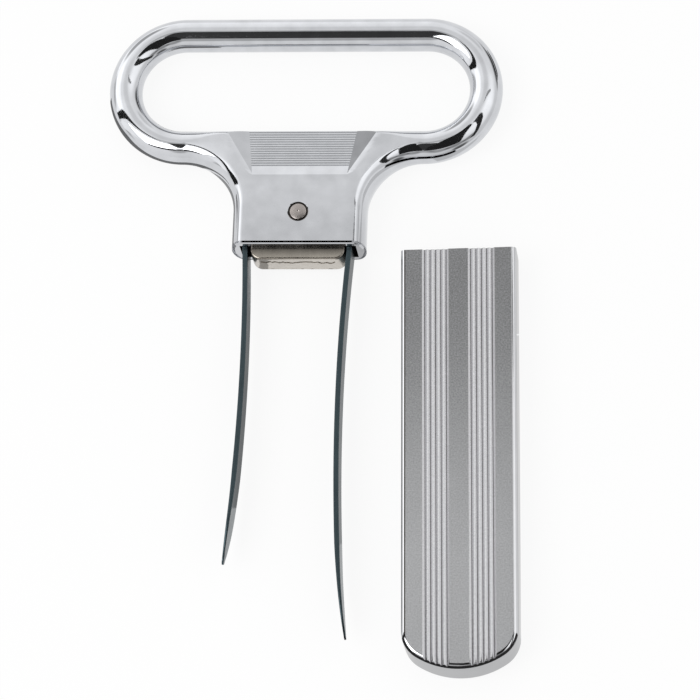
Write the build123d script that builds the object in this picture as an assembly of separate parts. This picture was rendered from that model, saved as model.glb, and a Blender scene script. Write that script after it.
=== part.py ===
from build123d import *
import math
import os

# Two-prong cork puller lying on its back beside its cover, in millimetres.
# While it is drawn, the rim of the handle's mouth is Y 0, the loop is towards +Y,
# the two prongs point to -Y, and Z 0 is the middle of the handle's thickness.

# Loop of the handle, a round bar bent to a stadium
loop_bar_radius = 3.2
loop_end_radius = 11.7
loop_half_straight = 23.4
loop_centre_y = 33.0

# Body of the handle, below the loop
body_half_width = 12.95
body_depth = 9.6
body_corner_radius = 2.2
shoulder_set_back = 0.05
shoulder_land = 0.25
rim_bevel = 0.6
pick_reach = 0.05

# Ribbed thumb ramp on the front and on the back of the handle
ramp_foot_y = 14.0
ramp_web = 3.0
ramp_foot_half_width = 9.15
ramp_top_half_width = 10.5
ramp_facet_half_width = 15.7
ramp_overrun = 1.6
rib_pitch = 0.575
rib_depth = 0.14
rib_first = 2.0
rib_last = 0.4

# Mouth of the handle, that the spacer block and the hooked prongs sit in
socket_roof_y = 11.5
socket_corner_radius = 1.0
socket_fit = 0.1
socket_side_fit = 0.15
cut_overrun = 1.0

# Cross pin through the handle and the spacer block
pin_radius = 1.6
pin_y = 6.5
pin_fit = 0.05
pin_mouth_radius = 1.93
pin_mouth_depth = 0.3
pin_recess = 0.12
pin_edge = 0.2

# Spacer block, a punched wedge that the prongs rock on
block_thickness = 6.0
block_top_y = 9.8
block_drop = 2.66
block_corner_radius = 1.0
block_side_angle = 4.8
block_foot_radius = 2.0
block_edge_bevel = 0.25
hinge_x = 8.92

# Prongs, flat spring steel with a hooked foot over the block's top corner
prong_thickness = 1.0
prong_width = 5.8
prong_fit = 0.12
foot_length = 3.6
root_length = 11.5
prong_bow_radius = 430.0
tip_bow_radius = 200.0
tip_length = 18.0
tip_thickness = 0.36
point_length = 11.0
point_width = 1.7
point_shoulder_share = 0.86
long_reach = 77.3
short_reach = 62.8
long_rest_angle = 3.9
short_rest_angle = 2.5
spread_angle = 0.4

# Cover, a flat chromed sheath with a fluted face and a rounded closed end
cover_width = 22.0
cover_depth = 8.3
cover_length = 82.8
cover_side_wall = 0.6
cover_face_wall = 0.75
cover_edge = 0.9
cover_inner_edge = 0.5
cover_arch_height = 7.5
cover_corner_radius = 6.0
flute_count = 5
flute_pitch = 1.02
flute_depth = 0.36
flute_group_x = 1.83
cover_x = 30.86
cover_y = -0.65
cover_turn = 1.81

# Turns
quarter_turn = 90.0
half_turn = 180.0
eighth_turn = quarter_turn / 2

# Values that follow from those above
body_half_depth = body_depth / 2
loop_low_y = loop_centre_y - loop_end_radius
bar_low_y = loop_low_y - loop_bar_radius
bar_high_y = loop_low_y + loop_bar_radius
shoulder_end_x = loop_half_straight - shoulder_set_back
shoulder_radius = shoulder_end_x - body_half_width
shoulder_foot_y = bar_low_y - shoulder_radius
shoulder_low = body_corner_radius + shoulder_land
socket_half_depth = block_thickness / 2 + socket_fit
hinge_y = block_top_y - block_corner_radius
bend_inner = block_corner_radius + prong_fit
bend_outer = bend_inner + prong_thickness
bend_middle = bend_inner + prong_thickness / 2
socket_half_width = hinge_x + bend_outer + socket_side_fit


def at_angle(radius, degrees):
    """A point at a distance and a direction from the origin."""
    turn = math.radians(degrees)
    return radius * math.cos(turn), radius * math.sin(turn)


# Handle
def loop():
    """The stadium of round bar that two fingers pull on."""
    span = 2 * loop_half_straight
    bars = [
        Pos(0, y, 0) * Rot(0, quarter_turn, 0) * Cylinder(loop_bar_radius, span)
        for y in (loop_low_y, loop_centre_y + loop_end_radius)
    ]
    start = Plane(origin=(loop_half_straight, loop_low_y, 0), x_dir=(0, 1, 0), z_dir=(1, 0, 0))
    turn_axis = Axis((loop_half_straight, loop_centre_y, 0), (0, 0, 1))
    right = revolve(start * Circle(loop_bar_radius), axis=turn_axis, revolution_arc=half_turn)
    return bars[0] + bars[1] + right + mirror(right, Plane.YZ)


def body_outline():
    """The body seen from the front: straight sides, hollow shoulders, and a sill in the loop."""
    mid_x, mid_y = at_angle(shoulder_radius, quarter_turn + eighth_turn)
    half = [
        Line((0, 0), (body_half_width, 0)),
        Line((body_half_width, 0), (body_half_width, shoulder_foot_y)),
        ThreePointArc(
            (body_half_width, shoulder_foot_y),
            (shoulder_end_x + mid_x, shoulder_foot_y + mid_y),
            (shoulder_end_x, bar_low_y),
        ),
        Line((shoulder_end_x, bar_low_y), (shoulder_end_x, bar_high_y)),
        Line((shoulder_end_x, bar_high_y), (0, bar_high_y)),
    ]
    return make_face(half + [mirror(edge, Plane.YZ) for edge in half])


def body_side():
    """The body seen from its side: flat faces that slope down to the loop's bar."""
    low = loop_bar_radius
    front = [
        Line((0, body_half_depth), (ramp_foot_y, body_half_depth)),
        Line((ramp_foot_y, body_half_depth), (bar_high_y, low)),
    ]
    ends = [
        Line((0, -body_half_depth), (0, body_half_depth)),
        Line((bar_high_y, -low), (bar_high_y, low)),
    ]
    return make_face(front + [mirror(edge, Plane.XZ) for edge in front] + ends)


def body_run_out():
    """The body seen along its length: its faces sink into the bar beyond the straight sides."""
    ease_x = (body_half_width + shoulder_end_x) / 2
    end_x = shoulder_end_x + cut_overrun
    half = [
        Line((0, body_half_depth), (body_half_width, body_half_depth)),
        Bezier(
            (body_half_width, body_half_depth),
            (ease_x, body_half_depth),
            (ease_x, shoulder_low),
            (end_x, shoulder_low),
        ),
        Line((end_x, shoulder_low), (end_x, 0)),
    ]
    half += [mirror(edge, Plane.XZ) for edge in half]
    return make_face(half + [mirror(edge, Plane.YZ) for edge in half])


def is_side_wall(face):
    """Whether a face is one of the body's upright sides, shoulders or its sill."""
    upright = abs(face.normal_at().Z) < pick_reach
    at_rim = face.center().Y < pick_reach
    at_end = abs(face.center().X) > shoulder_end_x - pick_reach
    return upright and not at_rim and not at_end


def body():
    """The flat body with its rounded sides, rim and sill, over the loop's lower bar."""
    plan = extrude(body_outline(), amount=body_depth, both=True)
    solid = plan & extrude(Plane.XZ * body_run_out(), amount=bar_high_y + cut_overrun, both=True)
    sides = [edge for face in solid.faces() if is_side_wall(face) for edge in face.edges()]
    outer = [edge for edge in sides if abs(edge.center().Z) > shoulder_low - pick_reach]
    solid = fillet(outer, body_corner_radius)
    rim = solid.faces().sort_by(Axis.Y)[0]
    solid = chamfer(rim.edges(), rim_bevel)
    return solid & extrude(Plane.YZ * body_side(), amount=shoulder_end_x, both=True)


def ramp_share(y):
    """How far up the ramp a place is, from its foot to the loop's opening."""
    return (y - ramp_foot_y) / (bar_high_y - ramp_foot_y)


def ramp_floor(y):
    """Height of the ramp's floor over the middle plane."""
    return body_half_depth + (ramp_web / 2 - body_half_depth) * ramp_share(y)


def ramp_half_width(y):
    """Half the floor's width, which opens towards the loop."""
    return ramp_foot_half_width + (ramp_top_half_width - ramp_foot_half_width) * ramp_share(y)


def ramp_cut():
    """The front recess with its sloping floor and its two side facets."""
    facet_run = ramp_facet_half_width - ramp_top_half_width
    facet_rise = loop_bar_radius - ramp_web / 2
    rise = body_half_depth + ramp_overrun
    sections = []
    for y in (ramp_foot_y - ramp_overrun, bar_high_y + ramp_overrun):
        floor, half = ramp_floor(y), ramp_half_width(y)
        out = half + rise * facet_run / facet_rise
        ring = [(-half, floor), (half, floor), (out, floor + rise), (-out, floor + rise)]
        place = Plane(origin=(0, y, 0), x_dir=(1, 0, 0), z_dir=(0, -1, 0))
        sections.append(place * make_face(Polyline(*ring, close=True)))
    return loft(sections, ruled=True)


def ribs():
    """V grooves across the ramp's floor, one every pitch, above a plain band at its foot."""
    run = bar_high_y - ramp_foot_y
    fall = body_half_depth - ramp_web / 2
    slope = math.degrees(math.atan2(fall, run))
    count = int((math.hypot(run, fall) - rib_first - rib_last) / rib_pitch) + 1
    grooves = []
    for step in range(count):
        along = rib_first + step * rib_pitch
        dy, dz = at_angle(along, -slope)
        half = ramp_half_width(ramp_foot_y + dy)
        place = Pos(0, ramp_foot_y + dy, body_half_depth + dz) * Rot(-slope, 0, 0)
        ring = [(-rib_pitch / 2, rib_depth), (rib_pitch / 2, rib_depth), (0, -rib_depth)]
        groove = extrude(Plane.YZ * make_face(Polyline(*ring, close=True)), amount=half, both=True)
        grooves.append(place * groove)
    return grooves


def socket():
    """The mouth's hollow, open at the rim."""
    height = socket_roof_y + cut_overrun
    hollow = Pos(0, height / 2 - cut_overrun, 0) * Box(
        2 * socket_half_width, height, 2 * socket_half_depth
    )
    roof = hollow.edges().filter_by(Axis.Z).sort_by(Axis.Y)[-2:]
    return fillet(roof, socket_corner_radius)


def pin_hole():
    """The pin's bore with a wider mouth at each face."""
    bore = Cylinder(pin_radius + pin_fit, body_depth + cut_overrun)
    mouth = Pos(0, 0, body_half_depth) * Cylinder(pin_mouth_radius, 2 * pin_mouth_depth)
    return Pos(0, pin_y, 0) * (bore + mouth + mirror(mouth, Plane.XY))


def handle():
    """The cast handle: loop, shoulders, body with its ramps, mouth and pin hole."""
    solid = loop() + body()
    cuts = [ramp_cut()] + ribs()
    solid -= cuts + [mirror(cut, Plane.XY) for cut in cuts]
    solid -= socket()
    return solid - pin_hole()


# Spacer block and pin
def spacer_block():
    """The punched wedge, wider at its top, with the pin's hole."""
    side = math.radians(block_side_angle)
    lean_x, lean_y = block_corner_radius * math.cos(side), block_corner_radius * math.sin(side)
    top_x = hinge_x + lean_x
    top_side_y = hinge_y - lean_y
    foot_x = top_x - (top_side_y + block_drop) * math.tan(side)
    arc_x, arc_y = at_angle(block_corner_radius, (quarter_turn - block_side_angle) / 2)
    half = [
        Line((0, block_top_y), (hinge_x, block_top_y)),
        ThreePointArc(
            (hinge_x, block_top_y), (hinge_x + arc_x, hinge_y + arc_y), (top_x, top_side_y)
        ),
        Line((top_x, top_side_y), (foot_x, -block_drop)),
        Line((foot_x, -block_drop), (0, -block_drop)),
    ]
    face = make_face(half + [mirror(edge, Plane.YZ) for edge in half])
    solid = extrude(face, amount=block_thickness / 2, both=True)
    feet = solid.edges().filter_by(Axis.Z).sort_by(Axis.Y)[:2]
    solid = fillet(feet, block_foot_radius)
    front = solid.faces().sort_by(Axis.Z)[-1]
    solid = chamfer(front.edges(), block_edge_bevel)
    return solid - Pos(0, pin_y, 0) * Cylinder(pin_radius + pin_fit, block_thickness + cut_overrun)


def cross_pin():
    """The plain pin that holds the block in the mouth, a little below both faces."""
    pin = Cylinder(pin_radius, body_depth - 2 * pin_recess)
    pin = chamfer(pin.edges().filter_by(GeomType.CIRCLE), pin_edge)
    return Pos(0, pin_y, 0) * pin


# Prongs
def blade_point(along, aside):
    """A point of the right blade, root at the hinge, straight down, then bowed outward."""
    if along <= root_length:
        return bend_middle + aside, -along
    bend = (along - root_length) / prong_bow_radius
    x = bend_middle + prong_bow_radius * (1 - math.cos(bend))
    y = -root_length - prong_bow_radius * math.sin(bend)
    return x + aside * math.cos(bend), y + aside * math.sin(bend)


def tip_point(along, start, aside):
    """A point of the blade's end, which bows out more sharply past the start."""
    bend = (start - root_length) / prong_bow_radius
    turn = bend + (along - start) / tip_bow_radius
    x, y = blade_point(start, 0)
    x += tip_bow_radius * (math.cos(bend) - math.cos(turn))
    y -= tip_bow_radius * (math.sin(turn) - math.sin(bend))
    return x + aside * math.cos(turn), y + aside * math.sin(turn)


def prong(reach, rest_angle):
    """The right-hand prong of a given reach below the rim, turned to its rest slope."""
    end = hinge_y + reach
    start = end - tip_length
    half, tip_half = prong_thickness / 2, tip_thickness / 2
    mean = (half + tip_half) / 2
    bow_middle = (root_length + start) / 2
    tip_middle = start + tip_length / 2
    lean = -spread_angle
    foot_x, foot_y = at_angle(foot_length, half_turn + lean)
    over = quarter_turn + lean
    inner_top, outer_top = at_angle(bend_inner, over), at_angle(bend_outer, over)
    inner_foot = (inner_top[0] + foot_x, inner_top[1] + foot_y)
    outer_foot = (outer_top[0] + foot_x, outer_top[1] + foot_y)
    edges = [
        Line(inner_foot, inner_top),
        ThreePointArc(inner_top, at_angle(bend_inner, eighth_turn), blade_point(0, -half)),
        Line(blade_point(0, -half), blade_point(root_length, -half)),
        ThreePointArc(
            blade_point(root_length, -half), blade_point(bow_middle, -half), blade_point(start, -half)
        ),
        ThreePointArc(
            blade_point(start, -half),
            tip_point(tip_middle, start, -mean),
            tip_point(end, start, -tip_half),
        ),
        Line(tip_point(end, start, -tip_half), tip_point(end, start, tip_half)),
        ThreePointArc(
            tip_point(end, start, tip_half),
            tip_point(tip_middle, start, mean),
            blade_point(start, half),
        ),
        ThreePointArc(
            blade_point(start, half), blade_point(bow_middle, half), blade_point(root_length, half)
        ),
        Line(blade_point(root_length, half), blade_point(0, half)),
        ThreePointArc(blade_point(0, half), at_angle(bend_outer, eighth_turn), outer_top),
        Line(outer_top, outer_foot),
        Line(outer_foot, inner_foot),
    ]
    strip = extrude(make_face(edges), amount=prong_width / 2, both=True)
    solid = strip & blade_outline(end)
    return Pos(hinge_x, hinge_y, 0) * Rot(0, 0, -rest_angle) * solid


def blade_outline(end):
    """The blade seen flat on: parallel edges that close in a rounded point."""
    top = bend_outer + prong_thickness
    half, point_half = prong_width / 2, point_width / 2
    shoulder_z = half * point_shoulder_share
    neck = (-end + point_length, half)
    low = (-end + point_half, point_half)
    middle = (-end + point_length / 2, shoulder_z)
    side = [
        Line((top, half), neck),
        Spline(neck, middle, low, tangents=[(-1, 0), (-1, -point_shoulder_share)]),
    ]
    other = [mirror(edge, Plane.XZ) for edge in side]
    nose = ThreePointArc(low, (-end, 0), (low[0], -point_half))
    cap = Line((top, -half), (top, half))
    face = make_face(side + other + [nose, cap])
    return extrude(Plane.YZ * face, amount=end, both=True)


# Cover
def sheath(half_width, length, half_depth, edge, corner_radius, arch_height):
    """A flat closed form with a straight mouth and a rounded end, its edges bevelled."""
    straight = length - arch_height
    corner_x = half_width - corner_radius
    join = 2 * math.degrees(math.atan2(arch_height - corner_radius, corner_x)) - quarter_turn
    join_x, join_y = at_angle(corner_radius, join)
    mid_x, mid_y = at_angle(corner_radius, join / 2)
    right = [
        Line((half_width, 0), (half_width, -straight)),
        ThreePointArc(
            (half_width, -straight),
            (corner_x + mid_x, mid_y - straight),
            (corner_x + join_x, join_y - straight),
        ),
    ]
    left = [mirror(part, Plane.YZ) for part in right]
    foot = ThreePointArc(
        (corner_x + join_x, join_y - straight), (0, -length), (-corner_x - join_x, join_y - straight)
    )
    mouth = Line((-half_width, 0), (half_width, 0))
    solid = extrude(make_face(right + left + [foot, mouth]), amount=half_depth, both=True)
    flats = solid.faces().filter_by(Axis.Z)
    rims = [e for face in flats for e in face.edges() if e.center().Y < 0]
    return chamfer(rims, edge)


def cover():
    """The chromed sheath: hollow, open at its mouth, five flutes each side of a band."""
    half_width, half_depth = cover_width / 2, cover_depth / 2
    outer = sheath(
        half_width, cover_length, half_depth, cover_edge, cover_corner_radius, cover_arch_height
    )
    inner = sheath(
        half_width - cover_side_wall,
        cover_length - cover_side_wall + cut_overrun,
        half_depth - cover_face_wall,
        cover_inner_edge,
        cover_corner_radius - cover_side_wall,
        cover_arch_height - cover_side_wall,
    )
    solid = outer - Pos(0, cut_overrun, 0) * inner
    ring = [
        (-flute_pitch / 2, half_depth),
        (0, half_depth - flute_depth),
        (flute_pitch / 2, half_depth),
        (0, half_depth + flute_depth),
    ]
    flute = extrude(
        Plane.XZ * make_face(Polyline(*ring, close=True)), amount=cover_length + 2 * cut_overrun
    )
    steps = [(step + 1 / 2) * flute_pitch + flute_group_x for step in range(flute_count)]
    flutes = [Pos(x, cut_overrun, 0) * flute for step in steps for x in (-step, step)]
    return solid - flutes - [mirror(cut, Plane.XY) for cut in flutes]


# All pieces where they lie, then moved so that the set stands on the middle of its footprint
def pieces():
    """Every piece by name, in the drawing's own frame."""
    lift = (cover_depth - body_depth) / 2
    return {
        "handle": handle(),
        "spacer_block": spacer_block(),
        "cross_pin": cross_pin(),
        "long_prong": prong(long_reach, long_rest_angle),
        "short_prong": mirror(prong(short_reach, short_rest_angle), Plane.YZ),
        "cover": Pos(cover_x, cover_y, lift) * Rot(0, 0, cover_turn) * cover(),
    }


os.makedirs("parts", exist_ok=True)
solids = pieces()
lows = [solid.bounding_box().min for solid in solids.values()]
highs = [solid.bounding_box().max for solid in solids.values()]
middle_x = (min(p.X for p in lows) + max(p.X for p in highs)) / 2
middle_y = (min(p.Y for p in lows) + max(p.Y for p in highs)) / 2
floor_z = min(p.Z for p in lows)
print("rim and middle plane lie at", -middle_x, -middle_y, -floor_z)
for name, solid in solids.items():
    placed = Pos(-middle_x, -middle_y, -floor_z) * solid
    export_step(placed, "parts/" + name + ".step")
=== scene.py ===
import logging
import math
from collections.abc import Callable, Sequence
from dataclasses import dataclass, field
from enum import Enum

import bpy
from mathutils import Matrix, Vector, noise


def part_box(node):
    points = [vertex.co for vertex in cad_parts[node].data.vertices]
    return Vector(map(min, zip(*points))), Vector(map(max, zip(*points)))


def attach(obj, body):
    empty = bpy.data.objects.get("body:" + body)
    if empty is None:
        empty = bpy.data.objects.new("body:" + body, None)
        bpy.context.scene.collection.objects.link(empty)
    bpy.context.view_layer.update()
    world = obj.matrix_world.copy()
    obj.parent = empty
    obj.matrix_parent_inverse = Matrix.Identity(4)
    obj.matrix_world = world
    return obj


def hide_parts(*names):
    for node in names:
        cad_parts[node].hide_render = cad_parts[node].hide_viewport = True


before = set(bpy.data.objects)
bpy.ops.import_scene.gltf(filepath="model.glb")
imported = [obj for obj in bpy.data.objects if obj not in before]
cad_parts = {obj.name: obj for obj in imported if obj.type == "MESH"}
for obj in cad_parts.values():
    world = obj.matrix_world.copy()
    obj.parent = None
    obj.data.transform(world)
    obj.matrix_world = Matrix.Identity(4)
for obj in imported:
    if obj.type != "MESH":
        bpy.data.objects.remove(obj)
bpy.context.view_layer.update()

LOG = logging.getLogger("cork_puller")
MM = 0.001
WELD = 2e-6
BODY_HANDLE = "handle"
ROUND_SIDES = 64
Piece = bpy.types.Object
Face = bpy.types.MeshPolygon
Tree = bpy.types.NodeTree
Socket = bpy.types.NodeSocket


# Bench: the few moves that every piece is made with
class Axis(Enum):
    """The axes of the row frame."""

    X = (1.0, 0.0, 0.0)
    Y = (0.0, 1.0, 0.0)
    Z = (0.0, 0.0, 1.0)

    @property
    def vector(self) -> Vector:
        """The axis as a vector."""
        return Vector(self.value)


def put_down() -> None:
    """Leave edit mode and select nothing."""
    if bpy.context.object and bpy.context.object.mode != "OBJECT":
        bpy.ops.object.mode_set(mode="OBJECT")
    bpy.ops.object.select_all(action="DESELECT")


def pick_up(piece: Piece) -> Piece:
    """Make one piece the only selected and the active one."""
    put_down()
    piece.select_set(True)
    bpy.context.view_layer.objects.active = piece
    return piece


def select_where(
    piece: Piece,
    faces: Callable[[Face], bool] | None = None,
    edges: Callable[[Vector, Vector], bool] | None = None,
) -> None:
    """Select a piece's faces or edges by place, or all its points, and enter edit mode on them.

    Args:
        piece: The piece to work on.
        faces: Says whether a face is taken.
        edges: Says whether an edge, given its two ends, is taken.
    """
    pick_up(piece)
    bpy.ops.object.mode_set(mode="EDIT")
    kind = "FACE" if faces else "EDGE" if edges else "VERT"
    bpy.ops.mesh.select_mode(type=kind)
    bpy.ops.mesh.select_all(action="SELECT" if kind == "VERT" else "DESELECT")
    bpy.ops.object.mode_set(mode="OBJECT")
    mesh = piece.data
    if faces:
        for face in mesh.polygons:
            face.select = faces(face)
    elif edges:
        for edge in mesh.edges:
            edge.select = edges(*(mesh.vertices[v].co for v in edge.vertices))
    bpy.ops.object.mode_set(mode="EDIT")


def weld(piece: Piece) -> None:
    """Merge a piece's double points, drop faces of no area and turn its normals outwards."""
    select_where(piece)
    bpy.ops.mesh.remove_doubles(threshold=WELD)
    bpy.ops.mesh.dissolve_degenerate(threshold=WELD)
    bpy.ops.mesh.select_all(action="SELECT")
    bpy.ops.mesh.normals_make_consistent(inside=False)
    put_down()


def closed(piece: Piece) -> Piece:
    """Weld a piece, put a face over each of its open ends and turn its normals outwards."""
    weld(piece)
    select_where(piece)
    bpy.ops.mesh.fill_holes(sides=0)
    put_down()
    weld(piece)
    return piece


def wrapped_grid(name: str, columns: int, rows: int, place: Callable[[int, int], Vector]) -> Piece:
    """Add a grid and lay its points out along a form.

    Args:
        name: The new piece's name.
        columns: How many points run along the form.
        rows: How many points run across it.
        place: Gives the place of the point in a column and a row.

    Returns:
        The grid, laid out.
    """
    put_down()
    bpy.ops.mesh.primitive_grid_add(x_subdivisions=columns - 1, y_subdivisions=rows - 1, size=1)
    piece = bpy.context.object
    piece.name = name
    for index, point in enumerate(piece.data.vertices):
        point.co = place(index % columns, index // columns)
    return piece


def joined(name: str, parts: Sequence[Piece]) -> Piece:
    """Join parts into one piece of a given name.

    Args:
        name: The name of the joined piece.
        parts: What is joined.

    Returns:
        The joined piece.
    """
    pick_up(parts[0])
    for part in parts[1:]:
        part.select_set(True)
    bpy.ops.object.join()
    parts[0].name = name
    return parts[0]


def finish_with(piece: Piece, kind: str, **settings: object) -> Piece:
    """Add a modifier to a piece and apply it.

    Args:
        piece: The piece it works on.
        kind: The modifier's type.
        settings: The modifier's own settings.

    Returns:
        The same piece.
    """
    pick_up(piece)
    modifier = piece.modifiers.new(kind.lower(), kind)
    for key, value in settings.items():
        setattr(modifier, key, value)
    bpy.ops.object.modifier_apply(modifier=modifier.name)
    return piece


def cut_away(piece: Piece, cutter: Piece) -> None:
    """Cut a form out of a piece and throw the form away."""
    finish_with(piece, "BOOLEAN", operation="DIFFERENCE", solver="EXACT", object=cutter)
    bpy.data.objects.remove(cutter)


def bevel_where(
    piece: Piece, offset: float, segments: int, edges: Callable[[Vector, Vector], bool]
) -> None:
    """Round some of a piece's edges.

    Args:
        piece: The piece to work on.
        offset: The width of the rounding.
        segments: How many faces it has across.
        edges: Says whether an edge, given its two ends, is taken.
    """
    select_where(piece, edges=edges)
    bpy.ops.mesh.bevel(offset=offset, segments=segments, profile=0.5, clamp_overlap=False)
    put_down()


def smooth(piece: Piece, degrees: float) -> None:
    """Shade a piece smooth but for its sharp edges, its large faces staying flat.

    Args:
        piece: The piece to shade.
        degrees: The bend from which an edge is sharp.
    """
    pick_up(piece)
    bpy.ops.object.shade_smooth_by_angle(angle=math.radians(degrees))
    finish_with(piece, "WEIGHTED_NORMAL", weight=90, keep_sharp=True)


def polar(radius: float, turn: float) -> Vector:
    """A flat step of a given length in a given direction."""
    return radius * Vector((math.cos(turn), math.sin(turn), 0))


def arc(centre: Vector, radius: float, start: float, end: float, steps: int) -> list[Vector]:
    """Points along a flat arc.

    Args:
        centre: The arc's centre.
        radius: The arc's radius.
        start: The angle of the first point, in degrees.
        end: The angle of the last point, in degrees.
        steps: How many parts the arc has.

    Returns:
        One point more than there are parts.
    """
    turns = [math.radians(start + (end - start) * step / steps) for step in range(steps + 1)]
    return [centre + polar(radius, turn) for turn in turns]


def ease(share: float) -> float:
    """A smooth step from 0 to 1."""
    share = min(1.0, max(0.0, share))
    return share * share * (3 - 2 * share)


def turned(name: str, front: Sequence[tuple[float, float]], y: float, sides: int) -> Piece:
    """A form turned about an upright axis, its back like its front, closed at both ends.

    Args:
        name: The new piece's name.
        front: Height and radius of each ring of its front half, from the lowest up.
        y: How far up from the rim the axis lies.
        sides: How many points a ring has.

    Returns:
        The turned form.
    """
    levels = [*((-height, radius) for height, radius in reversed(front)), *front]

    def place(column: int, row: int) -> Vector:
        """A point of a ring."""
        height, radius = levels[row]
        turn = 2 * math.pi * column / sides
        return Vector((0, y, height)) + polar(radius, turn)

    return closed(wrapped_grid(name, sides + 1, len(levels), place))


def plate(name: str, outline: Sequence[Vector], half_depth: float) -> Piece:
    """A flat outline drawn round and extruded along Z.

    Args:
        name: The new piece's name.
        outline: The outline's points in order.
        half_depth: Half the plate's thickness.

    Returns:
        The plate, closed.
    """
    put_down()
    bpy.ops.mesh.primitive_circle_add(vertices=len(outline), fill_type="NGON")
    piece = bpy.context.object
    piece.name = name
    for point, place in zip(piece.data.vertices, outline):
        point.co = Vector((place.x, place.y, -half_depth))
    select_where(piece, faces=lambda _: True)
    bpy.ops.mesh.extrude_region_move(TRANSFORM_OT_translate={"value": (0, 0, 2 * half_depth)})
    put_down()
    weld(piece)
    return piece


def mirrored(points: Sequence[Vector]) -> list[Vector]:
    """Points of a right half, then the left half back to the start."""
    left = [Vector((-point.x, point.y, point.z)) for point in reversed(points)]
    return [*points, *(point for point in left if abs(point.x) > WELD)]


# Where the drawing's own frame lies: rim at y 0, middle of the handle's thickness at z 0
LOW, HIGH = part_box("handle")
ORIGIN = Vector(((LOW.x + HIGH.x) / 2, LOW.y, (LOW.z + HIGH.z) / 2))


# Finishes
MARKS = ("Mottle", "Grain", "Hairline")
MARK_DETAIL = (3.0, 1.0, 2.0)
HAIRLINE_STRETCH = (12.0, 0.6, 12.0)


def wire(tree: Tree, kind: str, links: dict[str, object]) -> bpy.types.Node:
    """Add a node, set its plain values and link its inputs.

    Args:
        tree: The node tree.
        kind: The node's type.
        links: Values, sockets or properties by name.

    Returns:
        The node.
    """
    node = tree.nodes.new(kind)
    for key, value in links.items():
        if isinstance(value, Socket):
            tree.links.new(value, node.inputs[int(key) if key.isdigit() else key])
        elif key.isdigit():
            node.inputs[int(key)].default_value = value
        elif key in node.inputs:
            node.inputs[key].default_value = value
        else:
            setattr(node, key, value)
    return node


def reckon(tree: Tree, operation: str, *values: Socket | float) -> Socket:
    """Put values through a Math node and return its output."""
    numbered = {str(index): value for index, value in enumerate(values)}
    return wire(tree, "ShaderNodeMath", {"operation": operation, **numbered}).outputs[0]


def eased(tree: Tree, value: Socket, low: float, high: float, gain: float) -> Socket:
    """Turn a value into a gain that comes on smoothly between two of its levels.

    Args:
        tree: The node tree.
        value: The value that is read.
        low: Its level where the gain starts.
        high: Its level from which the gain is full.
        gain: The full gain.

    Returns:
        The socket of the gain.
    """
    span = {"Value": value, "From Min": low, "From Max": high, "To Max": gain}
    ramp = wire(tree, "ShaderNodeMapRange", {"interpolation_type": "SMOOTHSTEP", **span})
    return ramp.outputs[0]


def emptied(owner: bpy.types.Material | bpy.types.World) -> Tree:
    """The node tree of a material or a world, with nothing in it yet."""
    owner.use_nodes = True
    owner.node_tree.nodes.clear()
    return owner.node_tree


def surface_marks() -> Tree:
    """The shared group for what casting and handling leave on metal, and the place along Y that
    painted light and shade follow.
    """
    tree = bpy.data.node_groups.new("surface_marks", "ShaderNodeTree")
    for mark in MARKS:
        tree.interface.new_socket(f"{mark} Scale", in_out="INPUT", socket_type="NodeSocketFloat")
    for name in (*MARKS, "Along"):
        tree.interface.new_socket(name, in_out="OUTPUT", socket_type="NodeSocketFloat")
    start, end = tree.nodes.new("NodeGroupInput"), tree.nodes.new("NodeGroupOutput")
    place = wire(tree, "ShaderNodeTexCoord", {}).outputs["Object"]
    drawn = wire(tree, "ShaderNodeMapping", {"Vector": place, "Scale": HAIRLINE_STRETCH})
    for mark, across, detail in zip(MARKS, (place, place, drawn.outputs[0]), MARK_DETAIL):
        cloud = {"Vector": across, "Scale": start.outputs[f"{mark} Scale"], "Detail": detail}
        tree.links.new(wire(tree, "ShaderNodeTexNoise", cloud).outputs[0], end.inputs[mark])
    parts = wire(tree, "ShaderNodeSeparateXYZ", {"0": place})
    tree.links.new(parts.outputs["Y"], end.inputs["Along"])
    return tree


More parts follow.
